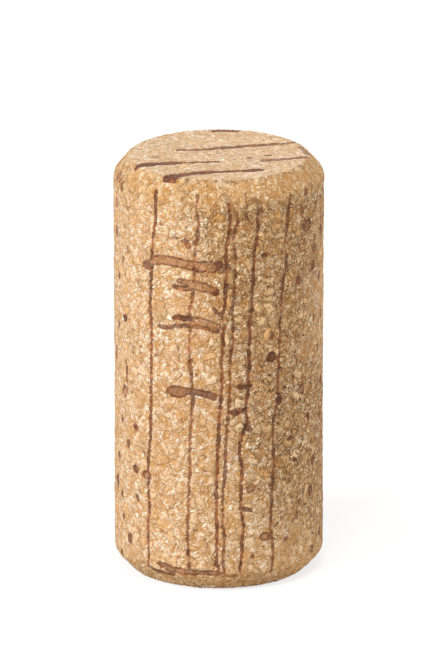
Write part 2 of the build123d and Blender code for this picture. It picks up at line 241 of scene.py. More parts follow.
# Lenticels seen end on: degrees, height, width, height and lean of each oval, how strongly it is burnt and
# how hollow its middle is
END_ON_LENTICELS = (
    (-75.5, 47.3, 0.9, 0.8, -30, 0.8, 0.5), (-70.0, 47.2, 0.4, 0.8, -30, 0.8, 0.0),
    (-66.5, 46.6, 0.7, 1.3, -20, 0.9, 0.3), (-57.0, 46.4, 0.3, 0.6, 0, 0.6, 0.0),
    (-75.0, 44.1, 0.9, 1.2, 0, 0.75, 0.2), (-60.0, 44.7, 0.5, 1.2, 0, 0.35, 0.0),
    (-63.0, 42.1, 0.35, 0.5, 0, 0.6, 0.0), (-75.5, 40.8, 0.7, 1.3, 0, 0.85, 0.0),
    (-17.2, 41.8, 0.65, 1.3, 22, 0.9, 0.1), (-59.4, 39.4, 0.4, 0.9, 0, 0.7, 0.4),
    (-65.2, 38.0, 0.5, 0.8, 0, 0.8, 0.0), (-62.4, 36.3, 0.4, 0.6, 0, 0.7, 0.0),
    (-71.2, 35.7, 0.6, 0.9, 0, 0.85, 0.0), (-63.1, 31.1, 1.0, 0.9, 20, 1.0, 0.0),
    (-72.2, 29.8, 0.6, 1.1, 0, 0.85, 0.0), (-47.8, 28.5, 0.3, 0.3, 0, 0.8, 0.0),
    (-36.9, 28.0, 0.35, 0.4, 0, 0.8, 0.0), (-78.0, 26.1, 1.0, 1.6, 0, 0.8, 0.2),
    (-61.5, 24.6, 0.32, 2.6, 4, 0.95, 0.0), (-63.5, 22.3, 1.2, 1.4, 20, 0.9, 0.3),
    (-55.8, 22.7, 0.3, 0.4, 0, 0.8, 0.0), (-66.9, 18.75, 0.55, 0.8, 0, 0.85, 0.0),
    (-52.3, 18.6, 0.9, 0.8, -20, 1.0, 0.0), (-59.8, 16.2, 0.65, 1.1, 0, 0.9, 0.0),
    (-72.5, 13.9, 0.7, 1.0, 0, 0.9, 0.0), (-52.3, 13.6, 1.0, 1.0, -35, 1.0, 0.15),
    (-43.5, 13.3, 1.3, 1.0, 0, 0.95, 0.3), (-36.7, 13.2, 0.9, 1.0, 0, 0.40, 0.7),
    (-75.5, 10.7, 1.1, 1.6, 0, 0.9, 0.0), (-50.8, 10.2, 0.5, 0.8, 30, 0.85, 0.2),
    (-67.4, 9.65, 0.65, 0.9, 0, 0.9, 0.0), (-65.4, 7.05, 0.5, 0.8, 0, 0.85, 0.0),
    (-58.1, 4.9, 0.85, 1.2, 0, 0.95, 0.2), (-48.7, 6.2, 0.5, 1.0, 12, 0.40, 0.0),
    (-48.0, 4.0, 0.6, 1.2, 0, 0.25, 0.5), (-68.4, 2.5, 0.5, 0.9, 0, 0.85, 0.0),
    (-12.3, 26.3, 0.25, 0.2, 0, 0.9, 0.0), (-15.7, 27.9, 0.5, 0.6, 0, 1.0, 0.0),
    (-13.6, 30.9, 0.3, 0.8, -35, 0.65, 0.2), (-45.6, 16.0, 0.18, 0.8, 40, 0.65, 0.0),
    (-36.3, 14.9, 0.6, 0.18, -25, 0.60, 0.0), (-45.0, 40.4, 0.3, 2.2, 42, 0.45, 0.0),
    (-21.5, 42.2, 0.15, 0.9, 60, 0.75, 0.0), (22.7, 45.7, 0.6, 0.7, 0, 0.75, 0.0),
    (25.6, 40.3, 0.75, 0.5, 0, 0.95, 0.0), (55.3, 46.6, 0.7, 0.9, 0, 0.85, 0.2),
    (52.4, 44.5, 0.3, 0.9, 15, 0.85, 0.0), (50.3, 44.6, 0.25, 0.7, 15, 0.75, 0.0),
    (56.3, 42.5, 1.7, 1.5, 0, 0.90, 0.2), (54.0, 40.6, 0.5, 0.7, 0, 0.8, 0.0),
    (42.9, 41.7, 0.3, 0.3, 0, 0.8, 0.0), (76.5, 41.1, 0.6, 1.2, 0, 0.85, 0.0),
    (64.6, 39.3, 0.7, 1.1, 0, 0.70, 0.2), (63.5, 37.4, 0.9, 1.2, 0, 0.95, 0.2),
    (48.6, 36.4, 0.9, 1.0, 25, 0.95, 0.0), (52.7, 36.0, 0.3, 0.4, 0, 0.75, 0.0),
    (13.5, 36.7, 0.3, 1.2, -35, 0.45, 0.2), (35.1, 38.3, 0.5, 0.3, 0, 0.5, 0.0),
    (72.4, 35.5, 0.5, 1.0, 0, 0.85, 0.0), (64.9, 31.0, 0.5, 0.9, 0, 0.85, 0.0),
    (77.0, 30.8, 0.7, 1.2, 0, 0.8, 0.0), (30.2, 30.6, 0.4, 0.8, 0, 0.65, 0.2),
    (29.8, 28.0, 1.25, 1.2, 0, 1.0, 0.1), (70.3, 27.2, 0.5, 0.9, 0, 0.85, 0.0),
    (25.0, 26.6, 0.25, 0.3, 0, 0.9, 0.0), (38.8, 24.15, 0.4, 0.45, 0, 0.9, 0.0),
    (34.9, 22.7, 1.0, 1.0, 0, 1.0, 0.0), (52.2, 23.3, 0.9, 1.2, 10, 0.85, 0.2),
    (77.5, 22.8, 0.7, 1.1, 0, 0.8, 0.0), (58.4, 19.6, 0.6, 0.9, 25, 0.9, 0.0),
    (75.5, 18.6, 0.7, 1.0, 0, 0.85, 0.0), (42.9, 17.8, 0.8, 0.65, 0, 0.9, 0.0),
    (64.1, 14.0, 0.9, 1.2, 0, 0.9, 0.2), (18.1, 12.6, 1.1, 0.9, 10, 0.75, 0.5),
    (61.0, 10.5, 0.9, 1.3, 10, 0.9, 0.1), (50.1, 9.9, 0.25, 0.5, 0, 0.95, 0.0),
    (48.1, 8.2, 0.4, 1.1, -10, 0.65, 0.2), (26.3, 6.6, 1.2, 1.0, -20, 0.85, 0.5),
    (33.5, 7.8, 0.15, 1.1, -48, 0.75, 0.0), (39.8, 5.7, 0.6, 0.6, 0, 0.75, 0.0),
    (74.5, 4.65, 0.7, 1.0, 0, 0.85, 0.0), (18.8, 4.4, 0.4, 0.5, 0, 0.75, 0.2),
    (63.1, 3.2, 0.8, 1.0, 0, 0.85, 0.2), (-1.5, 3.6, 0.5, 0.6, 0, 0.95, 0.0),
    (9.0, 21.9, 0.7, 0.8, 0, 0.9, 0.0), (16.9, 32.3, 0.7, 0.8, 0, 0.8, 0.0),
    (88.0, 33.0, 0.7, 1.1, 10, 0.85, 0.2), (97.0, 26.0, 1.0, 1.2, 0, 0.85, 0.3),
    (91.0, 19.0, 0.5, 0.8, 0, 0.7, 0.0), (86.0, 9.0, 0.8, 1.1, 0, 0.8, 0.0),
    (102.0, 43.5, 0.6, 0.9, 0, 0.8, 0.0), (108.0, 39.0, 1.1, 1.0, 0, 0.85, 0.3),
    (115.0, 33.5, 0.4, 0.7, 0, 0.7, 0.0), (118.0, 24.0, 0.8, 1.1, -10, 0.85, 0.2),
    (107.0, 15.5, 0.5, 0.8, 0, 0.8, 0.0), (103.0, 8.5, 1.0, 1.1, 0, 0.85, 0.3),
    (121.0, 12.0, 0.6, 0.7, 0, 0.7, 0.0), (126.0, 42.0, 0.6, 0.9, 20, 0.8, 0.0),
    (129.0, 5.0, 0.7, 0.9, 0, 0.8, 0.0), (150.0, 33.0, 0.5, 0.7, 0, 0.8, 0.0),
    (166.0, 12.5, 1.0, 0.8, 0, 0.8, 0.3), (184.0, 40.5, 0.6, 1.0, 15, 0.85, 0.0),
    (204.0, 22.0, 0.9, 0.8, 0, 0.8, 0.2), (186.0, 5.5, 0.5, 0.6, 0, 0.8, 0.0),
    (228.0, 36.0, 0.9, 1.0, 0, 0.85, 0.2), (231.0, 28.5, 0.4, 0.7, 0, 0.7, 0.0),
    (236.0, 21.0, 0.7, 1.1, 10, 0.85, 0.0), (241.0, 7.0, 0.9, 1.0, 0, 0.85, 0.3),
    (229.0, 12.5, 0.5, 0.8, 0, 0.8, 0.0), (246.0, 42.5, 0.9, 1.1, 0, 0.85, 0.2),
    (252.0, 32.0, 0.6, 0.9, 0, 0.8, 0.0), (249.0, 16.0, 0.5, 0.7, 0, 0.8, 0.0),
    (259.0, 12.0, 1.0, 1.2, 0, 0.85, 0.2), (262.0, 24.5, 0.6, 1.1, 0, 0.85, 0.0),
    (268.0, 38.0, 0.8, 1.0, 0, 0.85, 0.0), (271.0, 4.5, 0.6, 0.8, 0, 0.8, 0.0),
)

# Lenticels across an end: how strongly each is burnt, and millimetres right, millimetres back and width
TOP_LENTICELS = (
    (0.90, ((-4.6, 1.8, 0.5), (-3.0, 1.8, 0.6), (-1.0, 2.2, 0.8), (0.0, 2.5, 1.0), (2.0, 3.1, 0.8),
            (4.0, 3.6, 1.0), (5.4, 3.9, 0.7))),
    (0.85, ((6.1, 4.1, 0.8), (7.2, 4.2, 0.5), (8.5, 4.8, 0.7))),
    (1.00, ((-9.2, -4.6, 0.8), (-8.6, -4.2, 1.4), (-7.5, -3.8, 1.3), (-6.5, -3.6, 1.0), (-5.2, -3.3, 1.4),
            (-4.4, -3.2, 0.8), (-3.6, -3.2, 0.6), (-2.3, -3.0, 0.5), (0.0, -2.7, 0.4))),
    (1.00, ((-6.4, -9.9, 0.8), (-6.0, -9.2, 1.4), (-5.4, -8.7, 1.8), (-4.6, -8.2, 1.4), (-3.6, -7.7, 1.1),
            (-2.7, -7.3, 1.3), (-1.7, -7.2, 1.2), (-0.7, -7.0, 0.9), (0.6, -6.7, 0.7), (2.4, -6.4, 0.7),
            (4.0, -6.2, 1.0), (4.7, -6.0, 0.9), (5.0, -6.3, 0.4))),
    (0.85, ((5.2, -2.3, 0.9), (7.0, -1.9, 0.7), (8.5, -1.5, 0.6), (10.0, -1.0, 0.5))),
    (0.60, ((9.3, 3.0, 0.5), (9.8, 1.6, 0.5), (10.0, 0.2, 0.4))),
    (0.85, ((5.5, -0.4, 0.5), (5.8, -0.3, 0.5))),
    (0.75, ((3.3, -1.3, 0.5), (3.6, -1.2, 0.5))),
    (0.55, ((-7.4, -1.0, 0.7), (-7.0, -0.9, 0.7))),
    (0.90, ((-0.4, 9.5, 0.8), (1.2, 9.6, 1.0), (2.2, 9.5, 0.7))),
)
BOTTOM_LENTICELS = (
    (0.80, ((-6.8, 5.6, 0.6), (-3.0, 6.4, 0.9), (1.6, 7.0, 0.4))),
    (0.90, ((-1.5, -0.6, 0.5), (2.5, 0.2, 0.9), (6.5, 0.8, 0.7), (8.6, 1.5, 0.3))),
    (0.75, ((-8.6, -3.4, 0.6), (-5.0, -2.9, 1.0), (-2.4, -2.2, 0.3))),
    (0.80, ((-3.2, -7.6, 0.8), (0.8, -7.1, 0.6), (4.2, -6.2, 0.3))),
)

# The camera: what was fitted to the outline in the 439 x 659 photograph
PHOTO_HEIGHT = 659
SENSOR = 36.0
CAMERA_ELEVATION = radians(18.09)
CAMERA_DISTANCE = 898.6
PIXELS_PER_MM = 8.71
CENTRE_RIGHT_OF_MIDDLE = -0.78
CENTRE_BELOW_MIDDLE = 28.74

# Lamps: name, degrees round from the front to the right, degrees up and watts
LAMPS = (("key", -52, 29, 7.3), ("top", 0, 66, 3.4), ("rim", 98, 14, 3.8))
LAMP_COLOUR = (0.955, 1.015, 1.11)
LAMP_DISTANCE = 0.9
LAMP_SIZE = 0.35

# The room: what lights the cork from all round, and the floor as it reflects and as it is seen
AMBIENT_COLOUR, AMBIENT_STRENGTH = (1, 0.88, 0.72, 1), 0.46
WHITE = (1, 1, 1, 1)
FLOOR_REACH = 3.0
FLOOR_COLOUR = (0.68, 0.63, 0.56, 1)
FLOOR_SEEN, FLOOR_GLOW = (0.36, 0.36, 0.36, 1), 0.70

HALF = (0.5, 0.5, 0.5)

# The field of granules at a place: how far that is from the granule's edge, the granule's three random
# numbers, the way from its middle, and the place as it was bent
Grain = namedtuple("Grain", "edge chance from_middle bent")


def rounded(corners, radii, step):
    """Points about a step apart along straight runs between corners, each rounded to its radius."""
    corners = [Vector(c) for c in corners]
    path = [corners[0]]
    for before, corner, after, radius in zip(corners, corners[1:], corners[2:], radii):
        inward = (before - corner).normalized()
        outward = (after - corner).normalized()
        half_turn = (pi - inward.angle(outward)) / 2
        reach = radius * tan(half_turn)
        start, end = corner + inward * reach, corner + outward * reach
        centre = corner + (inward + outward).normalized() * (radius / cos(half_turn))
        steps = max(3, round(2 * half_turn * radius / step))
        for i in range(steps + 1):
            spoke = (start - centre).slerp(end - centre, i / steps) * radius
            path.append(centre + spoke)
    path.append(corners[-1])
    filled = [path[0]]
    for a, b in zip(path, path[1:]):
        count = max(1, round((b - a).length / step))
        filled += [a.lerp(b, i / count) for i in range(1, count + 1)]
    return filled


def cork_profile():
    """Radius and height of every ring of the cork, from just inside the lower rim up to the upper one."""
    start = FLAT_RADIUS - 1.5 * RIM_BLEND
    corners = [(start, 0), (FLAT_RADIUS, 0), (RADIUS, CHAMFER_HEIGHT), (RADIUS, LENGTH - CHAMFER_HEIGHT),
               (FLAT_RADIUS, LENGTH), (start, LENGTH)]
    return rounded(corners, [RIM_BLEND, SHOULDER_BLEND, SHOULDER_BLEND, RIM_BLEND], SPACING)


def end_disc(radius, height):
    """The inner points of a square grid bent into a disc, and the column of each point on its rim."""
    points, rim = {}, {}
    for i in range(END_GRID + 1):
        for j in range(END_GRID + 1):
            a, b = 2 * i / END_GRID - 1, 2 * j / END_GRID - 1
            if abs(a) > abs(b):
                r, turn = a, pi / 4 * b / a
            else:
                r, turn = b, pi / 2 - (pi / 4 * a / b if b else 0)
            x, y = radius * r * cos(turn), radius * r * sin(turn)
            if i in (0, END_GRID) or j in (0, END_GRID):
                rim[i, j] = round(np.arctan2(y, x) / (2 * pi) * COLUMNS) % COLUMNS
            else:
                points[i, j] = (x, y, height)
    return points, rim


def cork_mesh():
    """The cork before its relief, as a mesh of square cells about a spacing wide."""
    profile = cork_profile()
    turns = [2 * pi * k / COLUMNS for k in range(COLUMNS)]
    points = [(r * cos(t), r * sin(t), z) for r, z in profile for t in turns]
    faces = []
    for ring in range(len(profile) - 1):
        for k in range(COLUMNS):
            here, right = ring * COLUMNS + k, ring * COLUMNS + (k + 1) % COLUMNS
            faces.append((here, right, right + COLUMNS, here + COLUMNS))
    for first, height, upward in ((0, 0, False), ((len(profile) - 1) * COLUMNS, LENGTH, True)):
        inner, rim = end_disc(profile[0][0], height)
        index = {cell: first + column for cell, column in rim.items()}
        for cell, point in inner.items():
            index[cell] = len(points)
            points.append(point)
        for i in range(END_GRID):
            for j in range(END_GRID):
                cell = [index[i, j], index[i + 1, j], index[i + 1, j + 1], index[i, j + 1]]
                faces.append(cell if upward else cell[::-1])
    mesh = bpy.data.meshes.new("cork_granules")
    mesh.from_pydata([Vector(p) * MM for p in points], [], faces)
    mesh.shade_smooth()
    return mesh


def stroke_gap(path, along, across):
    """How far outside a stroke each place lies, for a path of (along, across, width)."""
    nearest = np.full(along.shape, np.inf)
    for (x0, y0, w0), (x1, y1, w1) in zip(path, path[1:]):
        dx, dy = x1 - x0, y1 - y0
        share = np.clip(((along - x0) * dx + (across - y0) * dy) / (dx * dx + dy * dy), 0, 1)
        reach = np.hypot(along - x0 - share * dx, across - y0 - share * dy)
        nearest = np.minimum(nearest, reach - (w0 + (w1 - w0) * share) / 2)
    return nearest


def oval_gap(width, height, lean, along, across):
    """How far outside an oval round the origin each place lies, roughly."""
    turn = radians(lean)
    u = (along * cos(turn) + across * sin(turn)) / (width / 2)
    v = (across * cos(turn) - along * sin(turn)) / (height / 2)
    return (np.hypot(u, v) - 1) * min(width, height) / 2


class Figure:
    """The burnt figure on a mesh: for each point the gap to the nearest mark, and how it is burnt."""

    FAR = 3.0  # the gap, in millimetres, where no mark is nearer

    def __init__(self, points):
        self.x, self.y, self.z = points.T
        self.round = np.degrees(np.arctan2(self.x, -self.y))
        radius = np.hypot(self.x, self.y)
        self.on_side = (self.z > RIM_BLEND) & (self.z < LENGTH - RIM_BLEND)
        self.on_top = (self.z > LENGTH - RIM_BLEND) & (radius < RADIUS)
        self.on_bottom = (self.z < RIM_BLEND) & (radius < RADIUS)
        self.values = {kind: {"gap": np.full(self.x.shape, self.FAR), "burn": np.zeros(self.x.shape),
                              "hollow": np.zeros(self.x.shape)} for kind in ("line", "lenticel")}

    def arc(self, angle):
        """Millimetres round the side to the right of an angle."""
        away = (self.round - angle + 180) % 360 - 180
        return ARC_PER_DEGREE * away

    def side_gap(self, path):
        """How far outside a stroke on the side each point lies, for a path of (degrees, height, width)."""
        start = path[0][0]
        strokes = [((angle - start) * ARC_PER_DEGREE, z, width) for angle, z, width in path]
        return stroke_gap(strokes, self.arc(start), self.z)

    def lay(self, kind, where, gap, burn, hollow=0.0):
        """Notes a mark wherever it is nearer than what is there already."""
        values = self.values[kind]
        nearer = where & (gap < values["gap"])
        values["gap"][nearer] = gap[nearer]
        values["burn"][nearer] = burn
        values["hollow"][nearer] = hollow

    def draw(self):
        """Lays every mark."""
        for burn, width, path in GROWTH_LINES:
            gap = self.side_gap([(angle, z, width) for angle, z in path])
            self.lay("line", self.on_side, gap, burn)
        for burn, hollow, path in CROSS_LENTICELS:
            self.lay("lenticel", self.on_side, self.side_gap(path), burn, hollow)
        for angle, z, width, height, lean, burn, hollow in END_ON_LENTICELS:
            gap = oval_gap(width, height, lean, self.arc(angle), self.z - z)
            self.lay("lenticel", self.on_side, gap, burn, hollow)
        for where, marks in ((self.on_top, TOP_LENTICELS), (self.on_bottom, BOTTOM_LENTICELS)):
            for burn, path in marks:
                self.lay("lenticel", where, stroke_gap(path, self.x, self.y), burn)

    def store(self, mesh):
        """Keeps the figure on the mesh as attributes."""
        for kind, values in self.values.items():
            for name, numbers in values.items():
                attribute = mesh.attributes.new(f"{kind}_{name}", "FLOAT", "POINT")
                attribute.data.foreach_set("value", numbers.astype(np.float32))


class Nodes:
    """Adds nodes to a tree. What takes a socket takes a plain value as well."""

    def __init__(self, tree):
        self.tree = tree

    def add(self, kind, inputs=(), **settings):
        node = self.tree.nodes.new(kind)
        for name, value in settings.items():
            setattr(node, name, value)
        for key, value in dict(inputs).items():
            self.feed(node.inputs[key], value)
        return node

    def feed(self, socket, value):
        if isinstance(value, bpy.types.NodeSocket):
            self.tree.links.new(value, socket)
        else:
            socket.default_value = value

    def math(self, operation, a, b=0.0):
        return self.add("ShaderNodeMath", {0: a, 1: b}, operation=operation).outputs[0]

    def total(self, first, *others):
        for other in others:
            first = self.math("ADD", first, other)
        return first

    def product(self, first, *others):
        for other in others:
            first = self.math("MULTIPLY", first, other)
        return first

    def one_less(self, value):
        return self.math("SUBTRACT", 1.0, value)

    def swing(self, value, reach):
        """A number from 0 to 1 as one from -reach/2 to reach/2."""
        return self.product(self.math("SUBTRACT", value, 0.5), reach)

    def vector(self, operation, a, b=(0, 0, 0)):
        return self.add("ShaderNodeVectorMath", {0: a, 1: b}, operation=operation).outputs["Vector"]

    def scaled(self, a, factor):
        node = self.add("ShaderNodeVectorMath", {0: a, "Scale": factor}, operation="SCALE")
        return node.outputs["Vector"]

    def dot(self, a, b):
        return self.add("ShaderNodeVectorMath", {0: a, 1: b}, operation="DOT_PRODUCT").outputs["Value"]

    def ease(self, value, start, end, low=0.0, high=1.0):
        """low where value is at start, high where it is at end, and a smooth step between."""
        inputs = {"Value": value, "From Min": start, "From Max": end, "To Min": low, "To Max": high}
        return self.add("ShaderNodeMapRange", inputs, interpolation_type="SMOOTHSTEP").outputs["Result"]

    def noise(self, place, waves, detail=2.0, roughness=0.5):
        """Noise with so many waves to a millimetre: a number as output 0 and a vector as output 1."""
        inputs = {"Vector": place, "Scale": waves, "Detail": detail, "Roughness": roughness}
        return self.add("ShaderNodeTexNoise", inputs).outputs

    def voronoi(self, place, scale, feature="F1"):
        inputs = {"Vector": place, "Scale": scale, "Randomness": 1.0}
        return self.add("ShaderNodeTexVoronoi", inputs, feature=feature, voronoi_dimensions="3D").outputs

    def cell_edge(self, place, scale):
        """How far a place is from the edge of its cell, in millimetres."""
        return self.math("DIVIDE", self.voronoi(place, scale, "DISTANCE_TO_EDGE")[0], scale)

    def split(self, vector):
        return self.add("ShaderNodeSeparateXYZ", {0: vector}).outputs

    def mix(self, factor, a, b):
        """Between two numbers."""
        return self.add("ShaderNodeMix", {0: factor, 2: a, 3: b}, data_type="FLOAT").outputs[0]

    def mix_vector(self, factor, a, b):
        return self.add("ShaderNodeMix", {0: factor, 4: a, 5: b}, data_type="VECTOR").outputs[1]

    def mix_colour(self, factor, a, b, blend="MIX"):
        node = self.add("ShaderNodeMix", {0: factor, 6: a, 7: b}, data_type="RGBA", blend_type=blend)
        return node.outputs[2]

    def tint(self, factor, base, shade, blend="MIX"):
        """base with a screen colour over it."""
        return self.mix_colour(factor, base, colour(shade), blend)

    def blend(self, factor, shade, other_shade):
        """Between two screen colours."""
        return self.mix_colour(factor, colour(shade), colour(other_shade))

    def ramp(self, value, stops):
        """A screen colour that runs through the stops as value goes from 0 to 1."""
        node = self.add("ShaderNodeValToRGB", {"Fac": value})
        elements = node.color_ramp.elements
        while len(elements) < len(stops):
            elements.new(0.5)
        for element, (position, shade) in zip(elements, stops):
            element.position, element.color = position, colour(shade)
        return node.outputs["Color"]


def fresh_nodes(owner):
    """The emptied node tree of a material or a world."""
    owner.use_nodes = True
    owner.node_tree.nodes.clear()
    return Nodes(owner.node_tree)


def colour(shade):
    """A screen colour from 0 to 255, as the renderer counts it."""
    parts = [v / 255 for v in shade]
    return tuple(v / 12.92 if v <= 0.04045 else ((v + 0.055) / 1.055) ** 2.4 for v in parts) + (1.0,)


def granules(nodes, place):
    """The field of granules at a place in millimetres, which the mesh and the material share."""
    sway = nodes.vector("SUBTRACT", nodes.noise(place, SWAY_WAVES, 1.0)[1], HALF)
    ripple = nodes.vector("SUBTRACT", nodes.noise(place, RIPPLE_WAVES, 1.0)[1], HALF)
    bent = nodes.vector("ADD", place, nodes.scaled(sway, SWAY_REACH))
    bent = nodes.vector("ADD", bent, nodes.scaled(ripple, RIPPLE_REACH))
    large, small = nodes.voronoi(bent, COARSE_GRAIN), nodes.voronoi(bent, FINE_GRAIN)
    large_edge, small_edge = nodes.cell_edge(bent, COARSE_GRAIN), nodes.cell_edge(bent, FINE_GRAIN)
    broken = nodes.math("GREATER_THAN", nodes.split(large["Color"])[0], WHOLE_SHARE)
    edge = nodes.mix(broken, large_edge, nodes.math("MINIMUM", large_edge, small_edge))
    chance = nodes.mix_vector(broken, large["Color"], small["Color"])
    middle = nodes.mix_vector(broken, large["Position"], small["Position"])
    return Grain(edge, chance, nodes.vector("SUBTRACT", bent, middle), bent)


def relief_depth(nodes, place, kept):
    """How far a place on the mesh lies below the turned surface, in millimetres."""
    grain = granules(nodes, place)
    _, spice, oddity = nodes.split(grain.chance)[:3]
    between = nodes.ease(grain.edge, 0.0, 0.22, GRANULE_RELIEF, 0.0)
    settled = nodes.product(spice, SETTLED_RELIEF)
    uneven = nodes.product(nodes.noise(place, UNEVEN_WAVES)[0], UNEVEN_RELIEF)
    is_pit = nodes.math("GREATER_THAN", oddity, PIT_CHANCE)
    pit = nodes.product(is_pit, nodes.ease(grain.edge, 0.02, 0.16), PIT_DEPTH)
    line = nodes.ease(kept("line_gap"), 0.14, -0.12, 0.0, LINE_DEPTH)
    line = nodes.product(line, kept("line_burn"))
    lenticel = nodes.ease(kept("lenticel_gap"), 0.10, -0.2, 0.0, LENTICEL_DEPTH)
    lenticel = nodes.product(lenticel, kept("lenticel_burn"))
    along = nodes.math("COSINE", nodes.product(nodes.split(place)[2], 2 * pi / LENGTH))
    waist = nodes.product(nodes.one_less(along), WAIST_RELIEF / 2)
    return nodes.total(between, settled, uneven, pit, line, lenticel, waist)


def relief_modifier(cork):
    """Sinks the turned surface between granules, along the burnt figure and in pits."""
    tree = bpy.data.node_groups.new("cork_relief", "GeometryNodeTree")
    tree.interface.new_socket("Geometry", in_out="INPUT", socket_type="NodeSocketGeometry")
    tree.interface.new_socket("Geometry", in_out="OUTPUT", socket_type="NodeSocketGeometry")
    nodes = Nodes(tree)
    start = nodes.add("NodeGroupInput").outputs[0]
    place = nodes.scaled(nodes.add("GeometryNodeInputPosition").outputs[0], 1 / MM)

    def kept(name):
        return nodes.add("GeometryNodeInputNamedAttribute", {"Name": name}, data_type="FLOAT").outputs[0]

    inward = nodes.product(relief_depth(nodes, place, kept), -MM)
    offset = nodes.scaled(nodes.add("GeometryNodeInputNormal").outputs[0], inward)
    moved = nodes.add("GeometryNodeSetPosition", {"Geometry": start, "Offset": offset}).outputs[0]
    nodes.add("NodeGroupOutput", {0: moved})
    modifier = cork.modifiers.new("relief", "NODES")
    modifier.node_group = tree


def apply_modifiers(piece):
    """Makes the piece's modifiers part of its mesh."""
    evaluated = piece.evaluated_get(bpy.context.evaluated_depsgraph_get())
    mesh = bpy.data.meshes.new_from_object(evaluated)
    piece.modifiers.clear()
    piece.data = mesh


def end_zones(nodes, place):
    """How far a place is on a ground chamfer, and how far on a cut end."""
    x, y, z = nodes.split(place)[:3]
    radius = nodes.math("SQRT", nodes.total(nodes.product(x, x), nodes.product(y, y)))
    from_middle = nodes.math("ABSOLUTE", nodes.math("SUBTRACT", z, LENGTH / 2))
    near_end = nodes.ease(from_middle, LENGTH / 2 - 1.8 * CHAMFER_HEIGHT, LENGTH / 2 - 0.8 * CHAMFER_HEIGHT)
    on_chamfer = nodes.product(near_end, nodes.ease(radius, FLAT_RADIUS - 0.4, FLAT_RADIUS + 0.5))
    on_end = nodes.product(near_end, nodes.ease(radius, FLAT_RADIUS + 0.2, FLAT_RADIUS - 0.6))
    return on_chamfer, on_end


def coarseness_and_shade(nodes, place, off_side):
    """How rough the granules are at a place, from 0 to 1, and with that how much painted shade darkens
    them. They are never rough off the side.
    """
    slow = nodes.noise(nodes.vector("ADD", place, COARSE_SHADE_PATCH_SHIFT), COARSE_SHADE_PATCH_WAVES, 0.0)[0]
    return nodes.product(nodes.ease(slow, 0.40, 0.57), nodes.one_less(off_side))


def cell_rows(nodes, grain):
    """Fine rows of cells, which run another way in each granule."""
    spin = nodes.product(nodes.split(grain.chance)[0], 2 * pi)
    inputs = {"Vector": grain.bent, "Axis": grain.chance, "Angle": spin}
    turned = nodes.add("ShaderNodeVectorRotate", inputs, rotation_type="AXIS_ANGLE").outputs[0]
    return nodes.noise(nodes.vector("MULTIPLY", turned, ROW_STRETCH), ROW_WAVES, 2.0, 0.6)[0]


def granule_skin(nodes, grain, rows):
    """Each granule's own colour, with its rows of cells."""
    tone, spice, oddity = nodes.split(grain.chance)[:3]
    skin = nodes.ramp(tone, GRANULE_RAMP)
    skin = nodes.tint(nodes.ease(spice, 0.80, 0.95, 0.0, 0.6), skin, AMBER_GRANULE)
    skin = nodes.tint(nodes.ease(oddity, 0.86, 0.96, 0.0, 0.6), skin, DULL_GRANULE)
    skin = nodes.tint(nodes.ease(rows, 0.28, 0.48, 0.38, 0.0), skin, DARK_ROWS)
    return nodes.tint(nodes.ease(rows, 0.50, 0.70, 0.0, 0.22), skin, PALE_ROWS)


def net(nodes, place, scale, reach, low, high, patch_waves):
    """Short curved strokes: the edges of a cell pattern, shown only where a noise is above low to high."""
    there = nodes.ease(nodes.noise(place, patch_waves, 1.0)[0], low, high)
    return nodes.product(nodes.ease(nodes.cell_edge(place, scale), reach, reach * 0.2), there)


def creased(nodes, place, grain, coarse_and_shaded, skin):
    """The skin with creases, strokes and dark rims, which are partly painted shade in the gaps between
    granules, and how far the creases and strokes cover it.
    """
    # Dark rims where the mesh sinks between granules: partly golden-brown edges, partly painted shade in
    # the gaps
    rim_and_gap_shade_here = nodes.ease(nodes.noise(place, RIM_WAVES)[0], 0.38, 0.60, 0.25, 0.95)
    rim = nodes.product(nodes.ease(grain.edge, 0.10, 0.012), rim_and_gap_shade_here)
    skin = nodes.mix_colour(rim, skin, nodes.blend(coarse_and_shaded, FINE_RIM_AND_GAP_SHADE, COARSE_RIM_AND_GAP_SHADE))
    creases = net(nodes, grain.bent, *CREASE_NET)
    shade = nodes.blend(coarse_and_shaded, FINE_CREASE, COARSE_CREASE)
    skin = nodes.mix_colour(nodes.product(creases, nodes.mix(coarse_and_shaded, 0.60, 1.0)), skin, shade)
    strokes = net(nodes, nodes.vector("ADD", grain.bent, STROKE_NET_SHIFT), *STROKE_NET)
    skin = nodes.tint(nodes.product(strokes, nodes.mix(coarse_and_shaded, 0.65, 1.0)), skin, DARK_STROKE)
    return skin, nodes.math("MAXIMUM", strokes, nodes.product(creases, 0.6))


def toned(nodes, place, coarse_and_shaded, on_chamfer, on_end, skin):
    """The skin with brown patches and warm areas, and the tint of its rough part, chamfers and ends. The
    tints of the rough part and the chamfers are partly painted shade.
    """
    patch = nodes.noise(place, BROWN_PATCH_WAVES, 1.0)[0]
    skin = nodes.tint(nodes.ease(patch, 0.34, 0.50, 0.36, 0.0), skin, BROWN_PATCH)
    broad = nodes.noise(place, WARM_AREA_WAVES, 1.0)[0]
    skin = nodes.tint(nodes.ease(broad, 0.35, 0.7, 0.0, 0.16), skin, WARM_AREA)
    # Painted shade: the rough part darker and more saturated
    skin = nodes.tint(coarse_and_shaded, skin, COARSE_SHADE_TINT, "MULTIPLY")
    # Partly painted shade: the chamfers darker because they face up into the lamps, and partly more golden
    skin = nodes.tint(on_chamfer, skin, CHAMFER_TINT_AND_SHADE, "MULTIPLY")
    return nodes.tint(nodes.product(on_end, 0.13), skin, END_TINT)


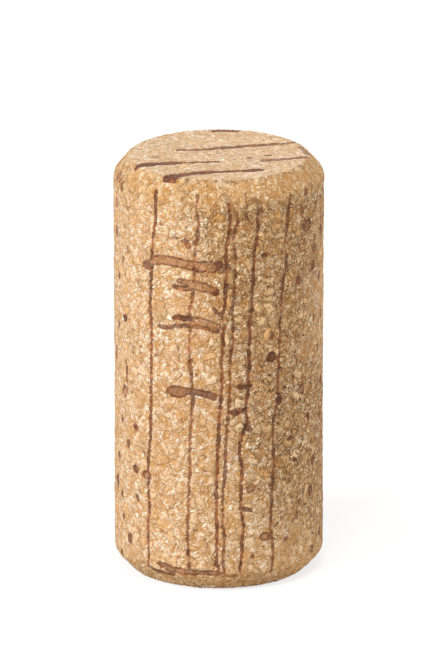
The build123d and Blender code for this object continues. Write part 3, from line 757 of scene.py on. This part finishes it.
def burnt_cover(nodes, place, kept, bead):
    """How far the burnt figure covers a place, and how far into a hollow middle it is.

    Its edges are ragged, and the lines swell and thin.
    """
    ragged = nodes.swing(nodes.noise(place, RAGGED_WAVES)[0], RAGGED_REACH)
    line_gap = nodes.total(kept("line_gap"), ragged, nodes.swing(bead, -SWELL_REACH))
    line = nodes.product(nodes.ease(line_gap, 0.05, -0.08), kept("line_burn"))
    spot_gap = nodes.total(kept("lenticel_gap"), ragged, -LENTICEL_SPREAD)
    middle = nodes.product(nodes.ease(spot_gap, -0.14, -0.34), kept("lenticel_hollow"))
    spot = nodes.product(nodes.ease(spot_gap, 0.05, -0.09), kept("lenticel_burn"))
    spot = nodes.product(spot, nodes.one_less(nodes.product(middle, 0.3)))
    return nodes.math("MAXIMUM", line, spot), middle


def scorched(nodes, grain, kept, bead, middle):
    """The burnt figure's colour: mottled, deeper inside a lenticel and lighter in a hollow middle."""
    mottle = nodes.swing(nodes.split(grain.chance)[1], 0.22)
    inside = nodes.ease(kept("lenticel_gap"), 0.1, -0.2, 0.0, 0.14)
    darkness = nodes.ease(nodes.total(bead, mottle, inside), 0.36, 0.62)
    scorch = nodes.blend(darkness, LIGHT_SCORCH, DEEP_SCORCH)
    return nodes.tint(nodes.ease(middle, 0.0, 0.45), scorch, HOLLOW_SCORCH)


def finest_relief(nodes, place, grain, rows, creases, burnt, coarse_and_shaded):
    """The normal that the light meets: granules tilted each its own way, rows, grit, creases and burns."""
    tilt = nodes.dot(grain.from_middle, nodes.vector("SUBTRACT", grain.chance, HALF))
    height = nodes.total(
        nodes.ease(grain.edge, 0.0, 0.18, -RIM_BUMP, 0.0),
        nodes.product(tilt, TILT_BUMP),
        nodes.product(rows, ROW_BUMP),
        nodes.product(nodes.noise(place, GRIT_WAVES)[0], GRIT_BUMP),
        nodes.product(creases, -CREASE_BUMP),
        nodes.product(burnt, -BURN_BUMP),
    )
    reach = nodes.mix(coarse_and_shaded, FINE_BUMP_REACH * MM, COARSE_BUMP_REACH * MM)
    bump = nodes.add("ShaderNodeBump", {"Height": height, "Strength": 1.0, "Distance": reach})
    return bump.outputs["Normal"]


def cork_material():
    """Bonded granules from cream to golden brown, with the burnt figure over them."""
    material = bpy.data.materials.new("bonded_cork")
    nodes = fresh_nodes(material)
    place = nodes.scaled(nodes.add("ShaderNodeTexCoord").outputs["Object"], 1 / MM)

    def kept(name):
        return nodes.add("ShaderNodeAttribute", attribute_name=name).outputs["Fac"]

    grain = granules(nodes, place)
    rows = cell_rows(nodes, grain)
    on_chamfer, on_end = end_zones(nodes, place)
    coarse_and_shaded = coarseness_and_shade(nodes, place, nodes.math("MAXIMUM", on_chamfer, on_end))
    skin, creases = creased(nodes, place, grain, coarse_and_shaded, granule_skin(nodes, grain, rows))
    skin = toned(nodes, place, coarse_and_shaded, on_chamfer, on_end, skin)

    bead = nodes.noise(place, SWELL_WAVES, 3.0, 0.6)[0]
    burnt, middle = burnt_cover(nodes, place, kept, bead)
    cover = nodes.product(burnt, nodes.ease(rows, 0.30, 0.62, 1.0, 0.86))
    roughness = nodes.ease(rows, 0.3, 0.7, DARK_ROW_ROUGHNESS, PALE_ROW_ROUGHNESS)
    shader = nodes.add("ShaderNodeBsdfPrincipled", {
        "Base Color": nodes.mix_colour(cover, skin, scorched(nodes, grain, kept, bead, middle)),
        "Roughness": nodes.mix(burnt, roughness, BURNT_ROUGHNESS),
        "Specular IOR Level": SPECULAR,
        "Sheen Weight": SHEEN,
        "Sheen Roughness": SHEEN_ROUGHNESS,
        "Sheen Tint": colour(SHEEN_TINT),
        "Normal": finest_relief(nodes, place, grain, rows, creases, burnt, coarse_and_shaded),
    })
    nodes.add("ShaderNodeOutputMaterial", {"Surface": shader.outputs[0]})
    return material


def make_cork():
    """The cork itself, in place of the plain solid."""
    mesh = cork_mesh()
    points = np.empty(len(mesh.vertices) * 3)
    mesh.vertices.foreach_get("co", points)
    figure = Figure(points.reshape(-1, 3) / MM)
    figure.draw()
    figure.store(mesh)
    cork = bpy.data.objects.new("cork_body", mesh)
    bpy.context.scene.collection.objects.link(cork)
    relief_modifier(cork)
    apply_modifiers(cork)
    cork.data.materials.clear()
    cork.data.materials.append(cork_material())
    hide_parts("cork")
    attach(cork, "root")


def to_view(nodes, lit, shown):
    """lit for every ray but the camera's and those of gloss and glass, which see shown."""
    path = nodes.add("ShaderNodeLightPath").outputs
    seen = nodes.math("MAXIMUM", path["Is Camera Ray"], path["Is Glossy Ray"])
    seen = nodes.math("MAXIMUM", seen, path["Is Transmission Ray"])
    return nodes.add("ShaderNodeMixShader", {0: seen, 1: lit, 2: shown}).outputs[0]


def make_floor():
    """A pale floor that looks white round the cork and keeps its shadow."""
    side = FLOOR_REACH
    corners = [(-side, -side, 0), (side, -side, 0), (side, side, 0), (-side, side, 0)]
    mesh = bpy.data.meshes.new("floor")
    mesh.from_pydata(corners, [], [(0, 1, 2, 3)])
    floor = bpy.data.objects.new("floor", mesh)
    bpy.context.scene.collection.objects.link(floor)
    material = bpy.data.materials.new("pale_floor")
    nodes = fresh_nodes(material)
    matte = nodes.add("ShaderNodeBsdfDiffuse", {"Color": FLOOR_COLOUR}).outputs[0]
    paper = nodes.add("ShaderNodeBsdfDiffuse", {"Color": FLOOR_SEEN}).outputs[0]
    glow = nodes.add("ShaderNodeEmission", {"Color": WHITE, "Strength": FLOOR_GLOW}).outputs[0]
    shown = nodes.add("ShaderNodeAddShader", {0: paper, 1: glow}).outputs[0]
    nodes.add("ShaderNodeOutputMaterial", {"Surface": to_view(nodes, matte, shown)})
    mesh.materials.append(material)


def make_world():
    """Even warm light from all round, and a white background."""
    world = bpy.data.worlds.new("studio")
    bpy.context.scene.world = world
    nodes = fresh_nodes(world)
    ambient = {"Color": AMBIENT_COLOUR, "Strength": AMBIENT_STRENGTH}
    lit = nodes.add("ShaderNodeBackground", ambient).outputs[0]
    shown = nodes.add("ShaderNodeBackground", {"Color": WHITE, "Strength": 1.0}).outputs[0]
    nodes.add("ShaderNodeOutputWorld", {"Surface": to_view(nodes, lit, shown)})


def make_lamp(name, azimuth, elevation, watts):
    """A square lamp aimed at the cork, azimuth degrees round from the front to the right."""
    light = bpy.data.lights.new(name, "AREA")
    light.shape = "SQUARE"
    light.size = LAMP_SIZE
    light.energy = watts
    light.color = LAMP_COLOUR
    lamp = bpy.data.objects.new(name, light)
    bpy.context.scene.collection.objects.link(lamp)
    a, e = radians(azimuth), radians(elevation)
    outward = Vector((sin(a) * cos(e), -cos(a) * cos(e), sin(e)))
    lamp.location = Vector((0, 0, LENGTH / 2 * MM)) + outward * LAMP_DISTANCE
    lamp.rotation_euler = (-outward).to_track_quat("-Z", "Y").to_euler()


def make_camera():
    """The camera as it stood for the photograph, found from the cork's outline there."""
    camera = bpy.data.cameras.new("camera")
    camera.sensor_width = SENSOR
    camera.lens = SENSOR * PIXELS_PER_MM * CAMERA_DISTANCE / PHOTO_HEIGHT
    seat = bpy.data.objects.new("camera", camera)
    bpy.context.scene.collection.objects.link(seat)
    aim_up = CENTRE_BELOW_MIDDLE / PIXELS_PER_MM / cos(CAMERA_ELEVATION)
    aim_right = -CENTRE_RIGHT_OF_MIDDLE / PIXELS_PER_MM
    centre = Vector((0, 0, LENGTH / 2))
    back = Vector((0, -cos(CAMERA_ELEVATION), sin(CAMERA_ELEVATION)))
    place = centre + back * CAMERA_DISTANCE
    aim = centre + Vector((aim_right, 0, aim_up))
    seat.location = place * MM
    seat.rotation_euler = (aim - place).to_track_quat("-Z", "Y").to_euler()
    bpy.context.scene.camera = seat


make_cork()
make_floor()
make_world()
for lamp in LAMPS:
    make_lamp(*lamp)
make_camera()
bpy.context.scene.view_settings.view_transform = "Standard"
